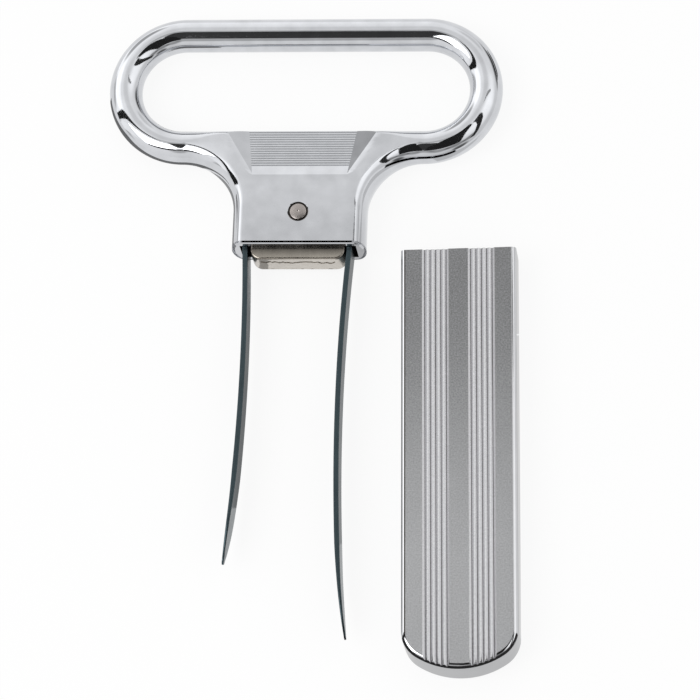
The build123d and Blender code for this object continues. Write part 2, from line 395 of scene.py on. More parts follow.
@dataclass(frozen=True)
class MetalFinish:
    """A metal surface with mottle, grain and hairlines of its own measure, and painted light and
    shade that change along Y.
    """

    name: str
    colour: tuple[float, float, float]
    roughness: float
    mottle_scale: float = 300.0
    grain_scale: float = 4000.0
    hairline_scale: float = 500.0
    mottle_tone: float = 0.03
    grain_tone: float = 0.0
    hairline_tone: float = 0.0
    rough_spread: float = 0.03
    mottle_height: float = 0.0
    grain_height: float = 0.0
    hairline_height: float = 0.0
    fade_from: float = 0.0
    fade_to: float = 0.0
    fade_tone: float = 0.0

    def made(self) -> bpy.types.Material:
        """The finish as a material, made once."""
        found = bpy.data.materials.get(self.name)
        if found:
            return found
        material = bpy.data.materials.new(self.name)
        tree = emptied(material)
        marks = tree.nodes.new("ShaderNodeGroup")
        marks.node_tree = bpy.data.node_groups.get("surface_marks") or surface_marks()
        for mark, scale in zip(MARKS, (self.mottle_scale, self.grain_scale, self.hairline_scale)):
            marks.inputs[f"{mark} Scale"].default_value = scale
        tones = (self.mottle_tone, self.grain_tone, self.hairline_tone)
        heights = (self.mottle_height, self.grain_height, self.hairline_height)
        tone = self.summed(tree, marks, 1.0, tones)
        # Painted light and shade: the colour's tone shifts smoothly along Y between two heights,
        # by a set amount.
        if self.fade_tone:
            along = marks.outputs["Along"]
            painted_light = eased(tree, along, self.fade_from, self.fade_to, self.fade_tone)
            tone = reckon(tree, "ADD", tone, painted_light)
        spreads = (self.rough_spread, 0.0, self.rough_spread)
        rough = self.summed(tree, marks, self.roughness, spreads)
        height = self.summed(tree, marks, 0.0, heights)
        toned = {"operation": "SCALE", "0": self.colour, "Scale": tone}
        colour = wire(tree, "ShaderNodeVectorMath", toned).outputs[0]
        bump = wire(tree, "ShaderNodeBump", {"Height": height, "Distance": 1.0, "Strength": 1.0})
        metal = {"Base Color": colour, "Metallic": 1.0, "Roughness": rough}
        shader = wire(tree, "ShaderNodeBsdfPrincipled", {**metal, "Normal": bump.outputs[0]})
        wire(tree, "ShaderNodeOutputMaterial", {"Surface": shader.outputs[0]})
        return material

    def summed(
        self, tree: Tree, marks: bpy.types.Node, start: float, shares: Sequence[float]
    ) -> Socket:
        """Add the three marks, each centred on nothing and scaled, to a starting value.

        Args:
            tree: The material's node tree.
            marks: The group node that puts the marks out.
            start: The value that the marks vary.
            shares: How far mottle, grain and hairlines vary it.

        Returns:
            The socket of the sum.
        """
        total: float | Socket = start
        for name, share in zip(MARKS, shares):
            if share:
                centred = reckon(tree, "SUBTRACT", marks.outputs[name], 0.5)
                total = reckon(tree, "MULTIPLY_ADD", centred, share, total)
        return total if isinstance(total, Socket) else reckon(tree, "ADD", total, 0.0)


# Painted shade near the rim: the handle's chrome grows lighter from 1 mm to 13 mm above the rim.
BRIGHT_CHROME = MetalFinish(
    "bright_chrome", (0.54, 0.55, 0.572), roughness=0.05, mottle_tone=0.36, rough_spread=0.05,
    mottle_height=6e-6, fade_from=ORIGIN.y + 1 * MM, fade_to=ORIGIN.y + 13 * MM, fade_tone=0.13,
)
SHEATH_CHROME = MetalFinish(
    "sheath_chrome", (0.60, 0.605, 0.62), roughness=0.06, mottle_tone=0.1, mottle_height=4e-6
)
RIB_CHROME = MetalFinish(
    "rib_chrome", (0.52, 0.53, 0.55), roughness=0.14, mottle_tone=0.2, grain_tone=0.15,
    rough_spread=0.05, grain_height=2e-6,
)
# Painted shade: the cover's satin flats grow darker from 70 mm to 5 mm below the rim, towards its
# mouth.
SATIN_CHROME = MetalFinish(
    "satin_chrome", (0.50, 0.505, 0.514), roughness=0.30, grain_scale=3500.0, mottle_tone=0.06,
    grain_tone=0.6, rough_spread=0.05, grain_height=5e-6,
    fade_from=ORIGIN.y - 70 * MM, fade_to=ORIGIN.y - 5 * MM, fade_tone=-0.50,
)
FLUTE_CHROME = MetalFinish(
    "flute_chrome", (0.63, 0.63, 0.645), roughness=0.12, grain_scale=3500.0, grain_tone=0.3,
    rough_spread=0.04, grain_height=3e-6,
)
# Painted shade, with some dirt in the pin's bore: near black for the pin's bore and mouth, the
# flute valleys and a line down one edge of the cover.
PAINTED_SHADE_DARK = MetalFinish(
    "painted_shade_dark", (0.045, 0.04, 0.035), roughness=0.45, mottle_tone=0.4, grain_tone=0.3
)
# Painted shade under the rim: the block's front face grows much darker towards its top.
WARM_NICKEL = MetalFinish(
    "warm_nickel", (0.41, 0.378, 0.33), roughness=0.20, mottle_tone=0.3, grain_tone=0.1,
    rough_spread=0.1, hairline_tone=0.15, hairline_height=4e-6,
    fade_from=ORIGIN.y - 2.9 * MM, fade_to=ORIGIN.y - 0.3 * MM, fade_tone=-0.70,
)
CUT_NICKEL = MetalFinish(
    "cut_nickel", (0.52, 0.487, 0.44), roughness=0.18, mottle_tone=0.25, grain_tone=0.25,
    rough_spread=0.1, hairline_height=4e-6,
)
# Painted shade: near black for the slopes of the torn groove across the block's lower face.
TEAR_SHADE_NICKEL = MetalFinish(
    "tear_shade_nickel", (0.19, 0.165, 0.135), roughness=0.35, mottle_scale=900.0, mottle_tone=1.2,
    grain_tone=0.8,
)
PIN_STEEL = MetalFinish(
    "cut_pin_steel", (0.36, 0.33, 0.313), roughness=0.30, mottle_tone=0.2, grain_tone=0.1,
    rough_spread=0.08, grain_height=4e-6,
)
SPRING_STEEL = MetalFinish(
    "spring_steel", (0.054, 0.075, 0.084), roughness=0.28, mottle_tone=0.3, hairline_tone=0.4,
    rough_spread=0.1, hairline_height=5e-6,
)


def dress(
    piece: Piece, body: str, slot: str, nodes: Sequence[str], *finishes: MetalFinish
) -> None:
    """Give a piece its finishes and its body, and hide the nodes it stands for.

    Args:
        piece: The finished piece.
        body: The CAD body that it rides on.
        slot: Not used.
        nodes: The CAD nodes that it replaces.
        finishes: The finishes, in the order of the piece's material indices.
    """
    piece.data.materials.clear()
    for finish in finishes:
        piece.data.materials.append(finish.made())
    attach(piece, body)
    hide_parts(*nodes)
    LOG.info("%s: %d faces, rides on %s", piece.name, len(piece.data.polygons), body)


def settle(piece: Piece, place: Matrix = Matrix.Identity(4)) -> Piece:
    """Move a piece's mesh from the drawing's frame to its place in the row frame.

    Args:
        piece: The piece, which may be turned and shifted as an object.
        place: Where its own frame lies in the drawing's frame.

    Returns:
        The same piece, its object back at the origin.
    """
    put_down()
    piece.data.transform(piece.matrix_world)
    piece.matrix_world = Matrix.Identity(4)
    piece.data.transform(place)
    piece.data.transform(Matrix.Translation(ORIGIN))
    piece.data.update()
    return piece


# Handle
@dataclass(frozen=True)
class Station:
    """A point of the handle's outline, the way inwards there and how wide its rounding is."""

    place: Vector
    inward: Vector
    width: float


@dataclass
class Handle:
    """The cast handle: one rounded form from loop to mouth, cut by the thumb ramps."""

    bar_radius: float = 3.2 * MM
    end_radius: float = 11.7 * MM
    half_straight: float = 23.4 * MM
    loop_y: float = 33.0 * MM
    body_half_width: float = 12.95 * MM
    half_depth: float = 4.8 * MM
    side_round: float = 2.35 * MM
    sill_round: float = 1.4 * MM
    sill_drop: float = 0.2 * MM
    sill_x: float = 15.5 * MM
    taper_y: float = 14.0 * MM
    taper_bend: float = 1.2 * MM
    overrun: float = 1.0 * MM
    rim_bevels: tuple[tuple[float, int], ...] = ((0.6 * MM, 1), (0.13 * MM, 4))
    ramp_foot_y: float = 14.0 * MM
    ramp_foot_half: float = 9.15 * MM
    ramp_top_half: float = 10.5 * MM
    ramp_facet_half: float = 15.7 * MM
    facet_edge: float = 0.1 * MM
    facet_flare: float = 9.0
    ramp_rise: float = 3.2 * MM
    ramp_past: tuple[float, float] = (0.5 * MM, 2.2 * MM)
    ramp_lip: float = 0.2 * MM
    web_half: float = 1.5 * MM
    rib_count: int = 15
    rib_pitch: float = 0.575 * MM
    rib_first: float = 2.05 * MM
    rib_depth: float = 0.065 * MM
    rib_land: float = 0.56
    rib_slant: float = 0.03
    socket_half_width: float = 11.19 * MM
    socket_half_depth: float = 3.1 * MM
    socket_roof_y: float = 11.5 * MM
    socket_round: float = 1.0 * MM
    socket_segments: int = 8
    pin_y: float = 6.5 * MM
    pin_bore: float = 1.65 * MM
    pin_mouth: float = 1.93 * MM
    pin_mouth_depth: float = 0.45 * MM
    pin_halo: float = 0.12 * MM
    rows: int = 16
    arc_steps: int = 60
    shoulder_steps: int = 36
    side_steps: int = 8
    knee_steps: int = 24
    crease_degrees: float = 13.0
    columns: tuple[float, ...] = (1.0, 0.93, 0.86, 0.79, 0.72, 0.66, 0.6, 0.54, 0.27, 0.0)

    @property
    def low_y(self) -> float:
        """The middle line of the loop's lower bar."""
        return self.loop_y - self.end_radius

    @property
    def inner_y(self) -> float:
        """The loop opening's lower edge."""
        return self.low_y + self.bar_radius

    def half_height(self, x: float, y: float) -> float:
        """Half the handle's thickness: the bar's, and more towards the flat body.

        Args:
            x: How far to the side.
            y: How far up from the rim.

        Returns:
            The height of the front face over the middle plane.
        """
        run = self.inner_y - self.taper_y
        down = self.inner_y - y
        bend = self.taper_bend
        if down > run + bend:
            share = 1.0
        elif down > run - bend:
            past = run + bend - down
            share = 1.0 - past * past / (4 * bend * run)
        else:
            share = max(0.0, down / run)
        spread = (self.half_straight - abs(x)) / (self.half_straight - self.body_half_width)
        return self.bar_radius + (self.half_depth - self.bar_radius) * share * ease(spread)

    def loop_stations(self, outwards: int) -> list[Station]:
        """The loop's outline, from its top's middle round the end to its lowest point.

        Args:
            outwards: 1 for the loop's outside and -1 for its opening.

        Returns:
            The stations in order.
        """
        reach = self.end_radius + outwards * self.bar_radius
        centre = Vector((self.half_straight, self.loop_y, 0))
        top = Vector((0, self.loop_y + reach, 0))
        stations = [Station(top, Vector((0, -outwards, 0)), self.bar_radius)]
        for point in arc(centre, reach, 90, -90, self.arc_steps):
            inward = outwards * (centre - point).normalized()
            stations.append(Station(point, inward, self.bar_radius))
        return stations

    def shoulder_stations(self) -> list[Station]:
        """The outline from the loop's lowest point down the hollow shoulder past the rim."""
        radius = self.half_straight - self.body_half_width
        centre = Vector((self.half_straight, self.low_y - self.bar_radius - radius, 0))
        stations = []
        for step, point in enumerate(arc(centre, radius, 90, 180, self.shoulder_steps)):
            share = ease(step / self.shoulder_steps)
            width = self.bar_radius + (self.side_round - self.bar_radius) * share
            stations.append(Station(point, (point - centre).normalized(), width))
        for step in range(1, self.side_steps + 1):
            y = centre.y + (-self.overrun - centre.y) * step / self.side_steps
            place = Vector((self.body_half_width, y, 0))
            stations.append(Station(place, Vector((-1, 0, 0)), self.side_round))
        return stations

    def sill_stations(self) -> list[Station]:
        """The opening's lower edge, whose rounding grows small towards the ramp."""
        stations = []
        for share in self.columns:
            x = self.half_straight * share
            part = ease((x - self.sill_x) / (self.half_straight - self.sill_x))
            width = self.sill_round + (self.bar_radius - self.sill_round) * part
            place = Vector((x, self.inner_y - self.sill_drop * (1 - part), 0))
            stations.append(Station(place, Vector((0, -1, 0)), width))
        return stations

    def rounded(self, name: str, stations: list[Station]) -> Piece:
        """The rounded border along an outline, a quarter of an ellipse in each station."""

        def place(column: int, row: int) -> Vector:
            """A point of a station's quarter, its full height being 1."""
            station = stations[column]
            turn = math.pi / 2 * row / self.rows
            point = station.place + station.inward * station.width * (1 - math.cos(turn))
            point.z = math.sin(turn)
            return point

        return wrapped_grid(name, len(stations), self.rows + 1, place)

    def shell(self) -> Piece:
        """The whole form before it is cut."""
        shoulder, sill = self.shoulder_stations(), self.sill_stations()
        brink = [station.place + station.inward * station.width for station in shoulder]
        ledge = [station.place + station.inward * station.width for station in sill]

        def on_face(column: int, row: int) -> Vector:
            """A point of the flat between the middle and the shoulder's rounding."""
            point = Vector((0, brink[column].y, 0)).lerp(brink[column], self.columns[row])
            return point + Axis.Z.vector

        def on_ledge(column: int, row: int) -> Vector:
            """A point of the flat between the sill's rounding and the lower bar's middle."""
            low = Vector((ledge[column].x, self.low_y, 0))
            return ledge[column].lerp(low, row / 2) + Axis.Z.vector

        parts = [
            self.rounded("outer", self.loop_stations(1)),
            self.rounded("shoulder", shoulder),
            self.rounded("inner", self.loop_stations(-1)),
            self.rounded("sill", sill),
            wrapped_grid("face", len(brink), len(self.columns), on_face),
            wrapped_grid("ledge", len(ledge), 3, on_ledge),
        ]
        shell = joined("handle_casting", parts)
        for point in shell.data.vertices:
            point.co.z *= self.half_height(point.co.x, point.co.y)
        finish_with(
            shell, "MIRROR", use_axis=(True, False, True), use_clip=True, merge_threshold=WELD
        )
        weld(shell)
        select_where(shell)
        bpy.ops.mesh.bisect(
            plane_co=(0, 0, 0), plane_no=(0, 1, 0), use_fill=True, clear_inner=True, threshold=WELD
        )
        put_down()
        select_where(shell, faces=lambda face: abs(face.center.y) < WELD and face.normal.y < -0.9)
        for offset, segments in self.rim_bevels:
            bpy.ops.mesh.region_to_loop()
            bpy.ops.mesh.bevel(offset=offset, segments=segments, profile=0.5, clamp_overlap=False)
        put_down()
        return shell

    def ramp_cutter(self, side: int) -> Piece:
        """The recess with a ribbed floor and two side facets.

        Args:
            side: 1 for the handle's front and -1 for its back.

        Returns:
            The cutter.
        """
        foot = Vector((0, self.ramp_foot_y, self.half_height(0, self.ramp_foot_y)))
        top = Vector((0, self.inner_y, self.web_half))
        way, length = (top - foot).normalized(), (top - foot).length
        up = Vector((0, -way.z, way.y))
        slope = (self.ramp_facet_half - self.ramp_top_half) / (self.bar_radius - self.web_half)
        land = self.rib_pitch * self.rib_land
        lines = [(step * self.rib_pitch, 0.0) for step in (-3, 0, 1, 2, 3)]
        for rib in range(self.rib_count):
            start = self.rib_first + rib * self.rib_pitch
            lines += [(start, 0.0), (start + land / 2, -self.rib_depth), (start + land, 0.0)]
        lines += [(length + past, 0.0) for past in self.ramp_past]

        def half_width(along: float) -> float:
            """Half the floor's width so far up the ramp."""
            grow = along / length
            return self.ramp_foot_half + (self.ramp_top_half - self.ramp_foot_half) * grow

        def knee(along: float) -> float:
            """How high over the floor the facet's bright edge starts, where the face is near."""
            low, high = 0.0, self.ramp_rise
            for _ in range(self.knee_steps):
                level = (low + high) / 2
                point = foot + way * along + up * level
                if point.z < self.half_height(half_width(along) + level * slope, point.y):
                    low = level
                else:
                    high = level
            return max(0.0, low - self.facet_edge)

        def place(column: int, row: int) -> Vector:
            """A point of the section, from the left facet's rim over the floor and back."""
            along, deep = lines[column]
            bend = knee(along)
            left = (self.ramp_rise, bend, 0.0, deep)
            level = (*left, *reversed(left), self.ramp_rise)[row]
            sign = 1 if len(left) <= row < 2 * len(left) else -1
            point = foot + way * along + up * level
            out = half_width(along) + max(0.0, min(level, bend)) * slope
            out += max(0.0, level - bend) * self.facet_flare
            return Vector((sign * out, point.y, point.z * side))

        return closed(wrapped_grid("ramp", len(lines), 9, place))

    def socket_cutter(self) -> Piece:
        """The mouth's hollow, its roof's corners rounded."""
        put_down()
        height = self.socket_roof_y + self.overrun
        bpy.ops.mesh.primitive_cube_add(size=1, location=(0, height / 2 - self.overrun, 0))
        cutter = bpy.context.object
        cutter.scale = (2 * self.socket_half_width, height, 2 * self.socket_half_depth)
        bpy.ops.object.transform_apply(location=True, rotation=False, scale=True)

        def at_roof(a: Vector, b: Vector) -> bool:
            """Whether an edge runs through the depth, near the roof."""
            return abs(a.z - b.z) > WELD and min(a.y, b.y) > self.pin_y

        bevel_where(cutter, self.socket_round, self.socket_segments, at_roof)
        return cutter

    def pin_cutter(self) -> Piece:
        """The pin's bore with a wider mouth at each face, its brim bevelled."""
        deep = self.half_depth
        floor, brim = deep - self.pin_mouth_depth, self.pin_mouth + self.pin_halo
        front = [
            (floor, self.pin_bore),
            (floor, self.pin_mouth),
            (deep - self.pin_halo, self.pin_mouth),
            (deep, brim),
            (deep + MM, brim),
        ]
        return turned("bore", front, self.pin_y, ROUND_SIDES)

    def is_bore(self, face: Face) -> bool:
        """Whether a face lines the pin's bore or the floor of its mouth."""
        place = face.center - ORIGIN
        from_axis = math.hypot(place.x, place.y - self.pin_y)
        return from_axis < self.pin_mouth + WELD and abs(place.z) < self.half_depth - self.pin_halo

    def is_rib(self, face: Face) -> bool:
        """Whether a face belongs to a ramp's ribbed floor."""
        place = face.center - ORIGIN
        inside = self.ramp_foot_y + self.rib_first < place.y < self.inner_y - self.ramp_lip
        inside = inside and self.web_half < abs(place.z) < self.half_depth
        flat = abs(face.normal.x) < self.rib_slant and abs(face.normal.z) > 0.5
        return inside and flat and abs(place.x) < self.ramp_top_half

    def build(self) -> None:
        """Make the casting and dress it."""
        casting = self.shell()
        for side in (1, -1):
            cut_away(casting, self.ramp_cutter(side))
        cut_away(casting, self.socket_cutter())
        cut_away(casting, self.pin_cutter())
        weld(casting)
        smooth(settle(casting), self.crease_degrees)
        finishes = (BRIGHT_CHROME, PAINTED_SHADE_DARK, RIB_CHROME)
        dress(casting, BODY_HANDLE, "handle_chrome", ["handle"], *finishes)
        # The pin's bore and mouth get painted shade, with some dirt; the ribbed ramp floors get
        # the rib chrome.
        for face in casting.data.polygons:
            face.material_index = 1 if self.is_bore(face) else 2 if self.is_rib(face) else 0


# Block and pin
@dataclass(frozen=True)
class Wave:
    """One swing of an uneven line: its height, how often it turns in a metre, and its draw."""

    height: float
    pace: float
    draw: float

    def at(self, x: float) -> float:
        """How far the line swings at a place."""
        return self.height * noise.noise(Vector((x * self.pace, self.draw, 0)))


@dataclass
class SpacerBlock:
    """The punched wedge in the mouth, with a torn line across its lower face."""

    half_depth: float = 3.0 * MM
    top_y: float = 9.8 * MM
    drop: float = 2.66 * MM
    hinge_x: float = 8.92 * MM
    top_round: float = 1.0 * MM
    foot_round: float = 2.0 * MM
    side_degrees: float = 4.8
    corner_steps: tuple[int, int] = (8, 10)
    crease_degrees: float = 35.0
    edge_round: float = 0.45 * MM
    edge_segments: int = 4
    foot_facing: float = 0.99
    bore: float = 1.65 * MM
    bore_sides: int = 48
    pin_y: float = 6.5 * MM
    tear_z: float = 1.6 * MM
    tear_waves: tuple[Wave, ...] = (Wave(0.5 * MM, 260, 0.3), Wave(0.45 * MM, 1200, 7.1))
    tear_depth: float = 0.16 * MM
    tear_step: float = 0.08 * MM
    tear_width: float = 0.75 * MM
    tear_filled: float = 0.8
    tear_rough: float = 0.3
    tear_pace: tuple[float, float] = (1100, 900)
    tear_cuts: int = 90
    cut_facing: tuple[float, float] = (0.3, 0.8)

    def outline(self) -> list[Vector]:
        """The wedge seen from the front, its top corners and its foot rounded."""
        lean = math.radians(self.side_degrees)
        top_steps, foot_steps = self.corner_steps
        shoulder = Vector((self.hinge_x, self.top_y - self.top_round, 0))
        top = arc(shoulder, self.top_round, 90, -self.side_degrees, top_steps)
        side_x = top[-1].x - (top[-1].y + self.drop) * math.tan(lean)
        reach = self.foot_round * math.tan(math.radians((90 - self.side_degrees) / 2))
        centre = Vector((side_x - reach, -self.drop + self.foot_round, 0))
        foot = arc(centre, self.foot_round, -self.side_degrees, -90, foot_steps)
        return mirrored([*top, *foot])

    def tear(self, x: float, z: float) -> float:
        """How far the punched face stands back at a place."""
        below = self.tear_z + sum(wave.at(x) for wave in self.tear_waves) - z
        filled = self.tear_filled * ease((below - self.tear_width) / self.tear_step)
        groove = ease(below / self.tear_step) - filled
        place = Vector((x * self.tear_pace[0], z * self.tear_pace[1], 2.0))
        rough = noise.noise(place) * ease(below / self.tear_width)
        return self.tear_depth * (groove + self.tear_rough * rough)

    def build(self) -> None:
        """Make the block and dress it."""
        half = self.half_depth

        def at_rim(a: Vector, b: Vector) -> bool:
            """Whether an edge bounds the front or the back."""
            return abs(a.z - b.z) < WELD and abs(abs(a.z) - half) < WELD

        block = plate("wedge_block", self.outline(), half)
        bevel_where(block, self.edge_round, self.edge_segments, at_rim)

        def is_foot(face: Face) -> bool:
            """Whether a face is the large lower one."""
            return face.normal.y < -self.foot_facing and face.area > MM * MM

        select_where(block, faces=is_foot)
        bpy.ops.mesh.subdivide(number_cuts=self.tear_cuts)
        put_down()
        for point in block.data.vertices:
            inside = abs(point.co.z) < half - self.edge_round - WELD
            if inside and point.co.y < -self.drop + WELD:
                point.co.y += self.tear(point.co.x, point.co.z)
        cutter = turned("block_bore", [(half + MM, self.bore)], self.pin_y, self.bore_sides)
        cut_away(block, cutter)
        smooth(settle(block), self.crease_degrees)
        finishes = (WARM_NICKEL, CUT_NICKEL, TEAR_SHADE_NICKEL)
        dress(block, BODY_HANDLE, "block_nickel", ["spacer_block"], *finishes)
        # The flat punched face gets the cut finish; the slopes of the torn groove get painted
        # shade.
        least, plain = self.cut_facing
        for face in block.data.polygons:
            from_foot = abs(face.center.y - ORIGIN.y + self.drop)
            if face.normal.y < -least and from_foot < self.tear_depth * 2:
                face.material_index = 1 if face.normal.y < -plain else 2


@dataclass
class CrossPin:
    """The plain pin through body and block, its cut ends dimpled by the punch that set it."""

    radius: float = 1.6 * MM
    half_length: float = 4.68 * MM
    edge: float = 0.14 * MM
    pin_y: float = 6.5 * MM
    dimple_radius: float = 0.3 * MM
    dimple_depth: float = 0.12 * MM
    edge_bend: float = 0.3
    dimple_floor: float = 0.2
    crease_degrees: float = 25.0

    def build(self) -> None:
        """Make the pin and dress it."""
        end, bend = self.half_length, self.edge * self.edge_bend
        front = [
            (end - self.edge, self.radius),
            (end - bend, self.radius - bend),
            (end, self.radius - self.edge),
            (end, self.dimple_radius),
            (end - self.dimple_depth, self.dimple_radius * self.dimple_floor),
        ]
        pin = turned("set_pin", front, self.pin_y, ROUND_SIDES)
        smooth(settle(pin), self.crease_degrees)
        dress(pin, BODY_HANDLE, "pin_steel", ["cross_pin"], PIN_STEEL)


# Prongs
@dataclass
class Prong:
    """A flat spring-steel blade: hooked foot, straight root, long bow and a thin rounded point."""

    name: str
    node: str
    reach: float
    rest_degrees: float
    left: bool = False
    thickness: float = 1.0 * MM
    half_width: float = 2.9 * MM
    foot_length: float = 3.6 * MM
    foot_lean: float = -0.4
    bend_middle: float = 1.62 * MM
    root_length: float = 11.5 * MM
    bow_radius: float = 430.0 * MM
    tip_bow_radius: float = 200.0 * MM
    tip_length: float = 18.0 * MM
    tip_thickness: float = 0.36 * MM
    point_length: float = 11.0 * MM
    nose_radius: float = 0.85 * MM
    point_power: float = 2.64
    edge_round: float = 0.16 * MM
    hinge: tuple[float, float] = (8.92 * MM, 8.8 * MM)
    foot_stations: tuple[float, ...] = (1.0, 0.97, 0.5)
    hook_steps: int = 12
    corner_steps: int = 4
    corner_share: float = 0.6
    crease_degrees: float = 40.0
    stride: float = 0.8 * MM
    fine_length: float = 3.0 * MM

    def line(self) -> list[tuple[Vector, float, float]]:
        """The blade's middle line, from the foot's end over the hook to the tip.

        Returns:
            Its points, each with the line's direction there and the way left to the tip.
        """
        end = self.hinge[1] + self.reach
        over, back = math.radians(90 + self.foot_lean), math.radians(180 + self.foot_lean)
        top, foot = polar(self.bend_middle, over), polar(self.foot_length, back)
        points = [(top + foot * share, back + math.pi, 1.0) for share in self.foot_stations]
        for step in range(self.hook_steps + 1):
            turn = over * (1 - step / self.hook_steps)
            points.append((polar(self.bend_middle, turn), turn - math.pi / 2, 1.0))
        place, heading, along = Vector((self.bend_middle, 0, 0)), -math.pi / 2, 0.0
        while along < end - WELD:
            stride = self.stride if along < end - self.fine_length else self.stride / 4
            stride = min(stride, end - along)
            middle = along + stride / 2
            radius = self.bow_radius if middle < end - self.tip_length else self.tip_bow_radius
            bend = 0.0 if middle < self.root_length else stride / radius
            heading += bend / 2
            place = place + polar(stride, heading)
            heading += bend / 2
            along += stride
            points.append((place, heading, end - along))
        return points

    def half_thick(self, left_over: float) -> float:
        """Half the blade's thickness, given the way left to the tip."""
        share = min(1.0, left_over / self.tip_length)
        return (self.tip_thickness + (self.thickness - self.tip_thickness) * share) / 2

    def half_wide(self, left_over: float) -> float:
        """Half the blade's width, given the way left to the tip."""
        if left_over >= self.point_length:
            return self.half_width
        nose = self.nose_radius
        if left_over > nose:
            share = (left_over - nose) / (self.point_length - nose)
            return nose + (self.half_width - nose) * (1 - (1 - share) ** self.point_power)
        return math.sqrt(max(1e-9, nose**2 - (nose - left_over) ** 2))

    def build(self) -> None:
        """Sweep the blade's section along its line and dress it."""
        line = self.line()
        section = 4 * self.corner_steps

        def place(column: int, row: int) -> Vector:
            """A point of the round-cornered section at a point of the line."""
            point, heading, left_over = line[column]
            thick, wide = self.half_thick(left_over), self.half_wide(left_over)
            if column == 0:
                thick, wide = thick - self.edge_round, wide - self.edge_round
            radius = min(self.edge_round, thick * self.corner_share, wide * self.corner_share)
            quarter, step = divmod(row % section, self.corner_steps)
            turn = math.pi / 2 * (quarter + step / (self.corner_steps - 1))
            sign_a = 1 if quarter in (0, 3) else -1
            sign_z = 1 if quarter in (0, 1) else -1
            aside = sign_a * (thick - radius) + radius * math.cos(turn)
            level = sign_z * (wide - radius) + radius * math.sin(turn)
            out = Vector((-math.sin(heading), math.cos(heading), 0))
            return point + out * aside + Axis.Z.vector * level

        blade = closed(wrapped_grid(self.name, len(line), section + 1, place))
        blade.matrix_world = (
            Matrix.Scale(-1 if self.left else 1, 4, Axis.X.vector)
            @ Matrix.Translation((*self.hinge, 0))
            @ Matrix.Rotation(-math.radians(self.rest_degrees), 4, "Z")
        )
        settle(blade)
        weld(blade)
        smooth(blade, self.crease_degrees)
        dress(blade, self.node, "prong_steel", [self.node], SPRING_STEEL)


